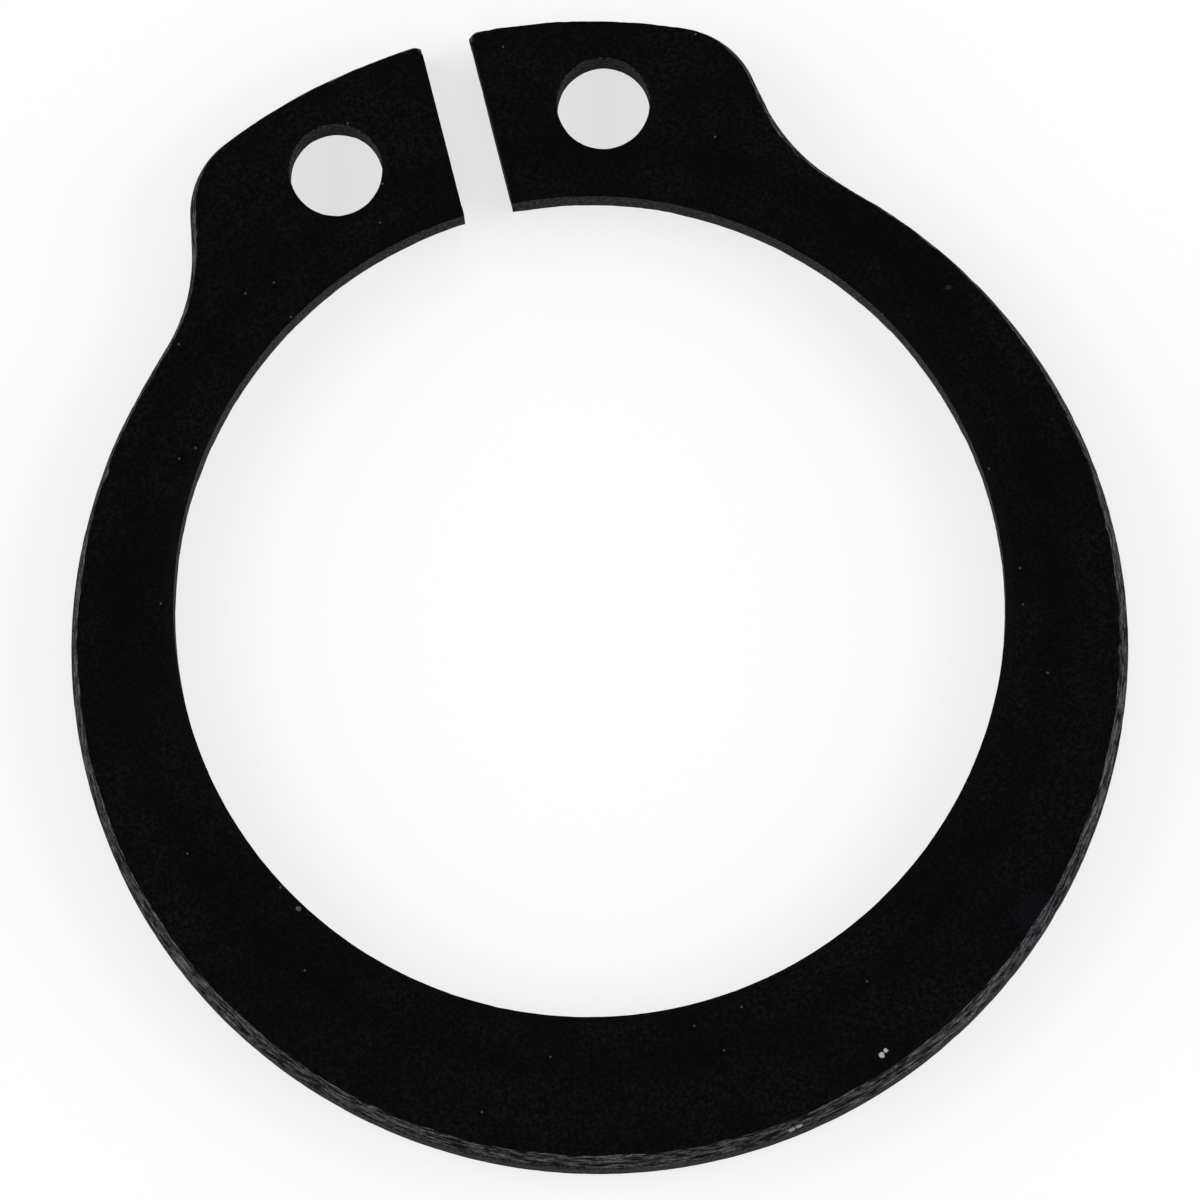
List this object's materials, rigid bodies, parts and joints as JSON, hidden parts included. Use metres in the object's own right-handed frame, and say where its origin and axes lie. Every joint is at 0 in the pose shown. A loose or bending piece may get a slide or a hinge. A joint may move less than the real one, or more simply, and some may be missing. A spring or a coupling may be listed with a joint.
{
  "type": "external retaining ring",
  "caption": "Flat external retaining ring of black phosphated spring steel, with a round bore, an offset round contour and two lugs with plier holes beside the gap.",
  "frame": {"origin": "centre of the bore, at the middle of the thickness", "axes": "+Z along the bore axis, out of the face whose bore edge is rolled in; +Y from the bore to the gap between the lugs; +X to the right lug, seen from +Z with the gap at the top"},
  "size_m": [0.0236, 0.026, 0.0018],
  "materials": {
    "phosphated_steel": "matte"
  },
  "bodies": {
    "root": {"retaining_ring": "phosphated_steel"}
  },
  "joints": []
}
